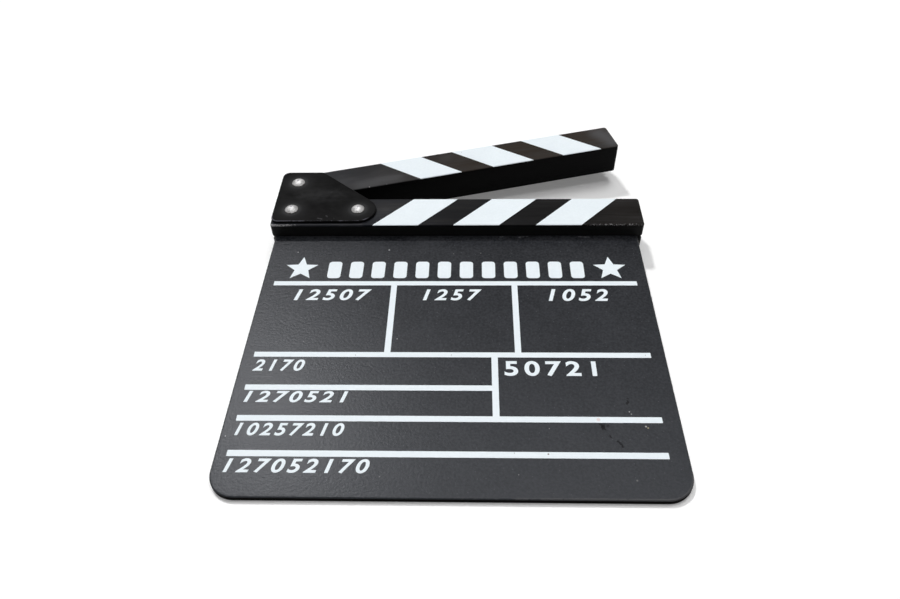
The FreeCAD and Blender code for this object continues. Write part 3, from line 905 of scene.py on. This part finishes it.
# %% Build the lower stick
STICK_RIM = 0.7 * MM
STICK_CORNER = 1.6 * MM
WEAR_BAND = 0.8 * MM
GROOVE_ROOM = 0.5 * MM
GLUE_FILM = 0.05 * MM
RUB_REACH, FREE_RUB_REACH = 20 * MM, 40 * MM
FREE_RUB_FADE = 3
LOWER_RUB, HINGE_RUB, FREE_RUB = 0.55, 0.45, 0.162
BACK_SHARE, HIGH_EDGE_SHARE = 0.7, 0.6


def clamp(value):
    """The value, kept between 0 and 1."""
    return min(1.0, max(0.0, value))


def rub_lower(place):
    """The lower stick is rubbed along its lower front edge: hard at the hinge, long at the free end."""
    at_hinge = clamp(1 - (place.x - stick_low.x) / RUB_REACH)
    at_free_end = clamp(FREE_RUB_FADE * (1 - (stick_high.x - place.x) / FREE_RUB_REACH))
    front = 1.0 if place.z > 0 else BACK_SHARE
    low_edge = 1.0 if place.y < stick_low.y + 2 * STICK_RIM else HIGH_EDGE_SHARE
    return front * low_edge * (LOWER_RUB + max(HINGE_RUB * at_hinge, FREE_RUB * at_free_end))


lower = rounded_slab(
    box_corners(stick_low, stick_high, (STICK_CORNER,) * 4),
    stick_low.z, stick_high.z, STICK_RIM, STICK_RIM, rub_lower, WEAR_BAND, WEAR_BAND)
half_groove = slate_high.z - COAT_THICKNESS + GLUE_FILM
groove = box_cutter(
    (stick_low.x - CUT_OVERRUN, stick_low.y - CUT_OVERRUN, -half_groove),
    (stick_high.x + CUT_OVERRUN, slate_high.y + GROOVE_ROOM, half_groove))
lower = cut_away(lower, [groove, *bores((heel, toe), stick_low.z, stick_high.z)])
make_piece("lower_stick", lower, "stick_paint", BODY_SLATE, "lower_clapstick")

# %% [markdown]
# ## The upper stick
# The swinging stick has a full-round heel, so that it clears the hinge, and a square free end. It is built
# lying straight, with its pivot at the origin, which is the easy way to write its outline, and its vertices
# are then swung open about the pivot.

# %% Build the upper stick
UPPER_BACK = -10.4 * MM
UPPER_FREE_END = 194.6 * MM
UPPER_LOW = -12.3 * MM
UPPER_HIGH = 9.3 * MM
PIVOT_BORE = 2.08 * MM
HEEL_ROUND = (UPPER_HIGH - UPPER_LOW) / 2
UPPER_RUB, END_RUB = 0.5, 0.12


def rub_upper(place):
    """The upper stick's rim is rubbed most at its free end."""
    near_end = clamp(1 - (UPPER_FREE_END - place.x) / RUB_REACH)
    low_edge = 1.0 if place.y < UPPER_LOW + 2 * STICK_RIM else HIGH_EDGE_SHARE
    return low_edge * (UPPER_RUB + END_RUB * near_end)


upper = rounded_slab(
    box_corners((UPPER_BACK, UPPER_LOW), (UPPER_FREE_END, UPPER_HIGH),
                (HEEL_ROUND, STICK_CORNER, STICK_CORNER, HEEL_ROUND)),
    clapper_low.z, clapper_high.z, STICK_RIM, STICK_RIM, rub_upper, WEAR_BAND, WEAR_BAND)
upper = cut_away(upper, bores([(0, 0)], clapper_low.z, clapper_high.z, PIVOT_BORE))
make_piece("upper_stick", upper, "stick_paint", BODY_CLAPPER, "upper_clapstick", where=swung_open)

# %% [markdown]
# ## The stripes
# White stripes cross both sticks, leaning one way below and the other way above, so that they meet in
# arrows when the sticks are shut. They could be a mask in the paint, but ink has a thickness and wraps a
# little over the rounded edges. So each stripe is a thin closed shell that follows the stick's face.

# %% Stripe helpers
INK_THICKNESS = 0.06 * MM
INK_SINK = 0.05 * MM
WRAP_ANGLE = math.radians(55)
WRAP_STEPS = 4


def face_path(low, high, level):
    """A path up a stick's face and a little over both rims, as (height, level, slope of the face)."""
    path = []
    for step in range(WRAP_STEPS + 1):
        angle = WRAP_ANGLE * step / WRAP_STEPS
        inset = STICK_RIM * (1 - math.sin(angle))
        drop = STICK_RIM * (1 - math.cos(angle))
        path.insert(0, (low + inset, level - drop, -angle))
        path.append((high - inset, level - drop, angle))
    return path


def stripe_shell(left, right, lean, low, high, level):
    """A slanted stripe whose sides stand at left and right at half the face's height."""
    bm = bmesh.new()
    section = ((left, INK_THICKNESS), (right, INK_THICKNESS), (right, -INK_SINK), (left, -INK_SINK))
    loops = []
    for height, rise, slope in face_path(low, high, level):
        shift = lean * (height - (low + high) / 2)
        out = Vector((0, math.sin(slope), math.cos(slope)))
        loops.append([bm.verts.new(Vector((x + shift, height, rise)) + out * ink) for x, ink in section])
    skin(bm, loops)
    return bm


print("stripe helpers ready")

# %% Build the stripes
LEAN = 0.97
LOWER_STRIPES = ((-34.3, -9.2), (10.0, 35.1), (55.1, 79.9))
UPPER_STRIPES = ((59.7, 84.7), (104.0, 129.3), (148.2, 172.7))
lower_face = (LEAN, stick_low.y, stick_high.y, stick_high.z)
upper_face = (-LEAN, UPPER_LOW, UPPER_HIGH, clapper_high.z)
for stick, stripes, face, body, where in (
    ("lower", LOWER_STRIPES, lower_face, BODY_SLATE, None),
    ("upper", UPPER_STRIPES, upper_face, BODY_CLAPPER, swung_open),
):
    for number, (left, right) in enumerate(stripes, start=1):
        stripe = stripe_shell(left * MM, right * MM, *face)
        make_piece(f"{stick}_stripe_{number}", stripe, "white_print", body, where=where)

# %% [markdown]
# ## The hinge plates
# Two steel plates hold the sticks between them. Each has two square sides, a slant and a round toe about
# the toe rivet; the slant is the tangent from the plate's shoulder to that round. In front the metal is
# dished under the rivets' heads by the riveting tool.

# %% Plate helpers
PLATE_MARGIN = heel.x - plate_low.x
PLATE_CORNER = 4 * MM
PLATE_TOP_RUN = 23.7 * MM
DISH_DEPTH = 0.2 * MM
DISH_SEAT_RADIUS = 4.1 * MM
DISH_RIM_RADIUS = 6.0 * MM
HEEL_REACH = 22 * MM
TOE_REACH = 4.5 * MM
GLINT_DEPTH = 0.55 * MM
# How strong the painted highlight on the plate's rim is, place by place.
PLATE_GLINT, HEEL_GLINT, FOOT_GLINT, TOE_GLINT = 0.40, 0.9, 0.55, 0.75


def plate_corners():
    """The plate's four corners; the toe is the corner of its foot and its slant, rounded to the margin."""
    shoulder = Vector((plate_low.x + PLATE_TOP_RUN, plate_high.y))
    to_shoulder = shoulder - toe
    lean = math.atan2(to_shoulder.y, to_shoulder.x) - math.acos(PLATE_MARGIN / to_shoulder.length)
    tip = toe.x + PLATE_MARGIN * (1 + math.sin(lean)) / math.cos(lean)
    return [(plate_low.x, plate_low.y, PLATE_CORNER), (tip, plate_low.y, PLATE_MARGIN),
            (shoulder.x, shoulder.y, PLATE_CORNER), (plate_low.x, plate_high.y, PLATE_CORNER)]


def dish_cutter(spot, seat):
    """A shallow cone whose flat end is the seat of a rivet's head."""
    rise = DISH_DEPTH + CUT_OVERRUN
    slope = (DISH_RIM_RADIUS - DISH_SEAT_RADIUS) / DISH_DEPTH
    return cone_cutter(spot, seat, seat + rise, DISH_SEAT_RADIUS, DISH_SEAT_RADIUS + slope * rise)


def glint_plate_rim(place):
    """A plate's rim carries a painted highlight: strong at its heel, less along its foot, again under its
    toe, and hardly elsewhere.
    """
    if place.y > plate_low.y + PLATE_CORNER:
        return PLATE_GLINT
    along_foot = HEEL_GLINT + (FOOT_GLINT - HEEL_GLINT) * clamp((place.x - plate_low.x) / HEEL_REACH)
    under_toe = TOE_GLINT * clamp(1 - abs(place.x - toe.x - TOE_REACH) / TOE_REACH)
    depth = min(abs(place.z - plate_high.z), abs(place.z - rear_low.z))
    return max(along_foot, under_toe) * clamp(1 - depth / GLINT_DEPTH)


print("plate margin", PLATE_MARGIN)

# %% Build the hinge plates
PLATE_RIM = 0.5 * MM
PLATE_BACK_RIM = 0.12 * MM
PLATE_BAND = 0.3 * MM
head_seat = plate_high.z - DISH_DEPTH
dishes = [dish_cutter(spot, head_seat) for spot in rivet_spots.values()]
for side, low, high, low_rim, high_rim, cuts in (
    ("front", plate_low.z, plate_high.z, PLATE_BACK_RIM, PLATE_RIM, dishes),
    ("rear", rear_low.z, rear_high.z, PLATE_RIM, PLATE_BACK_RIM, []),
):
    plate = rounded_slab(plate_corners(), low, high, low_rim, high_rim, glint_plate_rim, PLATE_BAND)
    plate = cut_away(plate, cuts + bores(rivet_spots.values(), low, high))
    make_piece(f"{side}_plate", plate, "plate_enamel", BODY_SLATE, f"{side}_hinge_plate")

# %% [markdown]
# ## The rivets
# A rivet is a turned shape: a domed head, a plain shank and a hollow tail that is rolled over behind the
# rear plate. Its half profile is a short list of radii, levels and rim marks with two round stretches,
# turned about the rivet's axis. The last part of the dome is painted darker, grime with painted shade, so
# the rim mark grows there.

# %% Rivet profile
HEAD_RADIUS = 3.7 * MM
HEAD_RIM = 0.35 * MM
SHANK_RADIUS = 2 * MM
TAIL_RADIUS = 3.2 * MM
TAIL_HEIGHT = 0.9 * MM
HOLLOW_RADIUS = 1.3 * MM
HOLLOW_DEPTH = 5 * MM
DOME_STEPS = 12
BEAD_STEPS = 10
# How much of the dome is darkened by grime with painted shade.
DARK_RIM_SHARE = 0.25
BEAD_DARKENING = 0.2
crown = rivet_high.z
tail_seat = rear_low.z
hollow_end = tail_seat + HOLLOW_DEPTH
dome_height = crown - head_seat - HEAD_RIM
dome_radius = (HEAD_RADIUS ** 2 + dome_height ** 2) / (2 * dome_height)
dome_reach = math.asin(HEAD_RADIUS / dome_radius)
bead_middle = (TAIL_RADIUS + HOLLOW_RADIUS) / 2
bead_half = (TAIL_RADIUS - HOLLOW_RADIUS) / 2
rivet_profile = []
for step in range(DOME_STEPS + 1):
    angle = dome_reach * step / DOME_STEPS
    # Grime with painted shade grows over the dome's last quarter.
    darkening = clamp(1 - (1 - step / DOME_STEPS) / DARK_RIM_SHARE)
    rivet_profile.append((dome_radius * math.sin(angle), crown - dome_radius * (1 - math.cos(angle)), darkening))
rivet_profile += [(HEAD_RADIUS, head_seat, 1), (SHANK_RADIUS, head_seat, 1), (SHANK_RADIUS, tail_seat, 1)]
for step in range(BEAD_STEPS + 1):
    angle = math.pi * step / BEAD_STEPS
    radius = bead_middle + bead_half * math.cos(angle)
    rivet_profile.append((radius, tail_seat - TAIL_HEIGHT * math.sin(angle), BEAD_DARKENING))
rivet_profile += [(HOLLOW_RADIUS, hollow_end, 1), (0, hollow_end, 1)]
print("rivet profile of", len(rivet_profile), "points")

# %% Build the rivets
TURN_SEGMENTS = 56


def turned(profile, spot):
    """A closed bmesh turned about z from (radius, level, rim mark), which begins and ends on the axis."""
    bm = bmesh.new()
    rim_mark = bm.verts.layers.float.new("rim_mark")
    loops = []
    for radius, level, rim in profile:
        loop = []
        for step in range(TURN_SEGMENTS if radius else 1):
            angle = math.tau * step / TURN_SEGMENTS
            across, up = radius * math.cos(angle), radius * math.sin(angle)
            vertex = bm.verts.new((spot.x + across, spot.y + up, level))
            vertex[rim_mark] = rim
            loop.append(vertex)
        loops.append(loop if radius else loop * TURN_SEGMENTS)
    skin(bm, loops[::-1], capped=False)
    return bm


for name, spot in rivet_spots.items():
    rivet = turned(rivet_profile, spot)
    make_piece(f"{name}_rivet_bright", rivet, "rivet_nickel", BODY_SLATE, f"{name}_rivet")

# %% [markdown]
# ## The printed form
# White ruled lines divide the slate's face into fields. Each line is a thin prism of ink, sunk a hair into
# the coat. The upright ones stop at the level ones, so that no two prisms overlap.

# %% Ink prisms
def make_print(name, outlines):
    """One piece of print from several outlines on the slate's face."""
    bm = bmesh.new()
    for points in outlines:
        levels = (slate_high.z - INK_SINK, slate_high.z + INK_THICKNESS)
        skin(bm, [[bm.verts.new((x, y, level)) for x, y in points] for level in levels])
    return make_piece(name, bm, "white_print", BODY_SLATE)


def rounded_box(low, high, radius):
    """The outline of a rectangle whose corners are all alike."""
    return rounded_outline(box_corners(low, high, (radius,) * 4))


print("ink helpers ready")

# %% Ruled lines
LINE_THICKNESS = 3.0 * MM
LINE_CORNER = 0.25 * MM
HALF_LINE = LINE_THICKNESS / 2
UPPER_LINE, MIDDLE_LINE, SHORT_LINE, THIRD_LINE, LAST_LINE = (
    height * MM for height in (121.9, 74.4, 55.05, 38.3, 20.5))
LEFT_DIVIDER, RIGHT_DIVIDER, LOW_DIVIDER = (x * MM for x in (-30.9, 31.15, 19.95))
LEVEL_LINES = (
    (-93.9 * MM, 94.1 * MM, UPPER_LINE),
    (-94.4 * MM, 93.1 * MM, MIDDLE_LINE),
    (-94.6 * MM, LOW_DIVIDER - HALF_LINE, SHORT_LINE),
    (-94.7 * MM, 92.0 * MM, THIRD_LINE),
    (-94.8 * MM, 91.6 * MM, LAST_LINE),
)
UPRIGHT_LINES = (
    (LEFT_DIVIDER, MIDDLE_LINE, UPPER_LINE),
    (RIGHT_DIVIDER, MIDDLE_LINE, UPPER_LINE),
    (LOW_DIVIDER, THIRD_LINE, MIDDLE_LINE),
)
ruled = []
for left, right, height in LEVEL_LINES:
    ruled.append(rounded_box((left, height - HALF_LINE), (right, height + HALF_LINE), LINE_CORNER))
for x, low, high in UPRIGHT_LINES:
    ruled.append(rounded_box((x - HALF_LINE, low + HALF_LINE), (x + HALF_LINE, high - HALF_LINE), 0))
make_print("ruled_lines", ruled)

# %% [markdown]
# A plain five-pointed star stands at each end of the top row. Its ten points lie on two circles. The inner
# one is a little larger than a regular star's, which prints fatter.

# %% Stars
STAR_RADIUS = 8.9 * MM
STAR_INNER_SHARE = 0.43
STAR_HEIGHT = 132.9 * MM
STAR_LEFT, STAR_RIGHT = -81.1 * MM, 81.6 * MM
STAR_POINTS = 5


def star(x, y):
    """The outline of a star that stands on two points."""
    points = []
    for step in range(2 * STAR_POINTS):
        angle = math.pi / 2 + math.pi * step / STAR_POINTS
        radius = STAR_RADIUS * (STAR_INNER_SHARE if step % 2 else 1)
        points.append((x + radius * math.cos(angle), y + radius * math.sin(angle)))
    return points


make_print("stars", [star(x, STAR_HEIGHT) for x in (STAR_LEFT, STAR_RIGHT)])

# %% [markdown]
# Between the stars runs a row of rounded windows like the perforation of a film, a plain ornament. They
# are all alike, so one window and a pitch are enough.

# %% Film perforation
ROW_LEFT, ROW_RIGHT = -66.8 * MM, 68.0 * MM
ROW_LOW, ROW_HIGH = 125.7 * MM, 138.1 * MM
WINDOW_WIDTH = 7.0 * MM
WINDOW_CORNER = 1.7 * MM
WINDOW_COUNT = 12
pitch = (ROW_RIGHT - ROW_LEFT - WINDOW_WIDTH) / (WINDOW_COUNT - 1)
lefts = [ROW_LEFT + pitch * number for number in range(WINDOW_COUNT)]
make_print("film_perforation", [
    rounded_box((left, ROW_LOW), (left + WINDOW_WIDTH, ROW_HIGH), WINDOW_CORNER) for left in lefts])

# %% [markdown]
# ## The figures in the fields
# Each field carries a short row of plain figures in bold slanted type. Blender's own text object gives the
# outlines: `offset` makes them bolder and `shear` slants them. The text is turned into a mesh, welded, rid
# of needless inner edges and fitted to its place, so that it is ink like the rest of the print.

# %% Figure helpers
TYPE_BOLDNESS = 0.025
TYPE_SPACING = 1.32
TYPE_STEPS = 8
SAME_POINT = 1e-5
SLIVER = 1e-4
LEVEL = math.radians(1)


def flat_text(text, slant):
    """A flat bmesh of a row of figures, welded and with few inner edges."""
    curve = bpy.data.curves.new("writing", "FONT")
    curve.body = text
    curve.offset = TYPE_BOLDNESS
    curve.shear = slant
    curve.space_character = TYPE_SPACING
    curve.resolution_u = TYPE_STEPS
    writing = add_object("writing", curve)
    bpy.context.view_layer.update()
    evaluated = writing.evaluated_get(bpy.context.evaluated_depsgraph_get())
    bm = bmesh.new()
    bm.from_mesh(bpy.data.meshes.new_from_object(evaluated))
    bpy.data.objects.remove(writing)
    bmesh.ops.remove_doubles(bm, verts=bm.verts, dist=SAME_POINT)
    bmesh.ops.dissolve_degenerate(bm, dist=SLIVER, edges=bm.edges)
    bmesh.ops.dissolve_limit(bm, angle_limit=LEVEL, verts=[], edges=bm.edges)
    return bm


def figures(name, text, left, right, low, high, slant):
    """A row of figures that fills a place on the slate's face."""
    bm = flat_text(text, slant)
    low_x, high_x = (bound(vertex.co.x for vertex in bm.verts) for bound in (min, max))
    low_y, high_y = (bound(vertex.co.y for vertex in bm.verts) for bound in (min, max))
    for vertex in bm.verts:
        across = (vertex.co.x - low_x) / (high_x - low_x)
        up = (vertex.co.y - low_y) / (high_y - low_y)
        vertex.co = (left + across * (right - left), low + up * (high - low), slate_high.z + INK_THICKNESS)
    raised = bmesh.ops.extrude_face_region(bm, geom=bm.faces[:] + bm.edges[:])
    sunk = [item for item in raised["geom"] if isinstance(item, bmesh.types.BMVert)]
    bmesh.ops.translate(bm, verts=sunk, vec=(0, 0, -INK_THICKNESS - INK_SINK))
    bmesh.ops.recalc_face_normals(bm, faces=bm.faces)
    return make_piece(name, bm, "white_print", BODY_SLATE)


print("figure helpers ready")

# %% Figures
TYPE_SLANT = 0.22
FIELDS = (
    ("12507", -81.6, -42.2, 109.7, 117.6, TYPE_SLANT),
    ("1257", -15.6, 14.3, 109.7, 117.6, TYPE_SLANT),
    ("1052", 48.0, 78.3, 109.4, 117.8, TYPE_SLANT),
    ("2170", -93.3, -69.2, 64.4, 71.3, TYPE_SLANT),
    ("50721", 24.4, 66.8, 62.0, 70.8, 0.0),
    ("1270521", -93.6, -46.7, 46.7, 53.0, TYPE_SLANT),
    ("10257210", -93.8, -46.2, 29.2, 35.8, TYPE_SLANT),
    ("127052170", -94.6, -33.4, 11.2, 18.0, TYPE_SLANT),
)
for number, (text, *sides, slant) in enumerate(FIELDS, start=1):
    figures(f"figures_{number}", text, *(side * MM for side in sides), slant)

# %% [markdown]
# ## Floor, light and camera
# The board lies on its back, on the slate's lower edge and on the rivets' tails. So the floor is tipped a
# little against the board's own frame and touches both. It is plain white and keeps the soft shadow. More
# light would whiten it, but the board as well. So it glows a little, only where it is looked at directly or
# in a reflection, and the glow lights nothing.

# %% Floor
FLOOR_HALF = 6.0
FLOOR_GREY = grey(0.88)
FLOOR_LIFT = 0.16
WHITE = grey(1)


def seen_directly(tree):
    """1 for what the camera, a reflection or glass looks at, and 0 for what only lights other things."""
    path = add(tree, "LightPath").outputs
    seen = calculate(tree, "MAXIMUM", path["Is Camera Ray"], path["Is Glossy Ray"])
    return calculate(tree, "MAXIMUM", seen, path["Is Transmission Ray"])


front_edge = Vector((0, SLATE_RIM, slate_low.z))
floor_slope = (rivet_low.z - front_edge.z) / (heel.y - TAIL_RADIUS - front_edge.y)
floor_corners = []
for side, end in ((-1, -1), (1, -1), (1, 1), (-1, 1)):
    y = end * FLOOR_HALF
    floor_corners.append((side * FLOOR_HALF, y, front_edge.z + floor_slope * (y - front_edge.y)))
floor_mesh = bpy.data.meshes.new("floor")
floor_mesh.from_pydata(floor_corners, [], [(0, 1, 2, 3)])
add_object("floor", floor_mesh)
tree, shader, _ = new_finish(
    "floor_paper", Base_Color=FLOOR_GREY, Roughness=0.9, Specular_IOR_Level=0.0, Emission_Color=WHITE)
glow = calculate(tree, "MULTIPLY", seen_directly(tree), FLOOR_LIFT)
feed(tree, shader.inputs["Emission Strength"], glow)
floor_mesh.materials.append(finishes["floor_paper"])
print("floor slopes by", round(math.degrees(math.atan(floor_slope)), 2), "degrees")

# %% [markdown]
# Three suns light the board. The key light stands behind it on the left: it leaves the soft sheen on that
# side of the slate and draws the thin shadow under the lower stick. A second one behind on the right and a
# broad one overhead even this out. The world adds a level fill, and is plain white where the camera or a
# reflection looks at it.

# %% Light
def sun(name, from_left, elevation, breadth, strength):
    """A distant lamp behind the board; the angles are degrees."""
    lamp = bpy.data.lights.new(name, "SUN")
    lamp.angle = math.radians(breadth)
    lamp.energy = strength
    turn, rise = math.radians(from_left), math.radians(elevation)
    toward = Vector((-math.sin(turn) * math.cos(rise), math.cos(turn) * math.cos(rise), math.sin(rise)))
    light = add_object(name, lamp)
    light.rotation_euler = toward.to_track_quat("Z", "Y").to_euler()
    light.location = toward


FILL_STRENGTH = 0.1
sun("key_light", from_left=28, elevation=53.2, breadth=6, strength=1.7)
sun("second_light", from_left=-24, elevation=66, breadth=25, strength=0.68)
sun("top_light", from_left=0, elevation=85, breadth=40, strength=0.82)
world = bpy.data.worlds.new("studio")
world.use_nodes = True
tree = world.node_tree
fill = tree.nodes["Background"]
fill.inputs["Color"].default_value = WHITE
fill.inputs["Strength"].default_value = FILL_STRENGTH
backdrop = add(tree, "Background", Color=WHITE, Strength=1.0)
either = add(tree, "MixShader", seen_directly(tree), fill.outputs[0], backdrop.outputs[0])
feed(tree, tree.nodes["World Output"].inputs["Surface"], either.outputs[0])
bpy.context.scene.world = world
bpy.context.scene.view_settings.view_transform = "Standard"
print("three suns and a world made")

# %% [markdown]
# The camera stands low in front of the board and looks down on it at about 47 degrees, through a wide lens
# and slightly rolled.

# %% Camera
CAMERA_PLACE = Vector((9.0, -140.5, 266.7)) * MM
CAMERA_AIM = Vector((-1.8, 110.4, 1.5)) * MM
CAMERA_ROLL = math.radians(-1.74)
CAMERA_LENS = 28.82
SENSOR_WIDTH = 36
NEAREST_SEEN = 1 * MM
lens = bpy.data.cameras.new("camera")
lens.lens = CAMERA_LENS
lens.sensor_fit = "HORIZONTAL"
lens.sensor_width = SENSOR_WIDTH
lens.clip_start = NEAREST_SEEN
camera = add_object("camera", lens)
sight = CAMERA_AIM - CAMERA_PLACE
aimed = sight.to_track_quat("-Z", "Y").to_matrix().to_4x4()
camera.matrix_world = Matrix.Translation(CAMERA_PLACE) @ aimed @ Matrix.Rotation(CAMERA_ROLL, 4, "Z")
bpy.context.scene.camera = camera
print("camera looks down by", round(math.degrees(math.asin(-sight.normalized().z)), 1), "degrees")
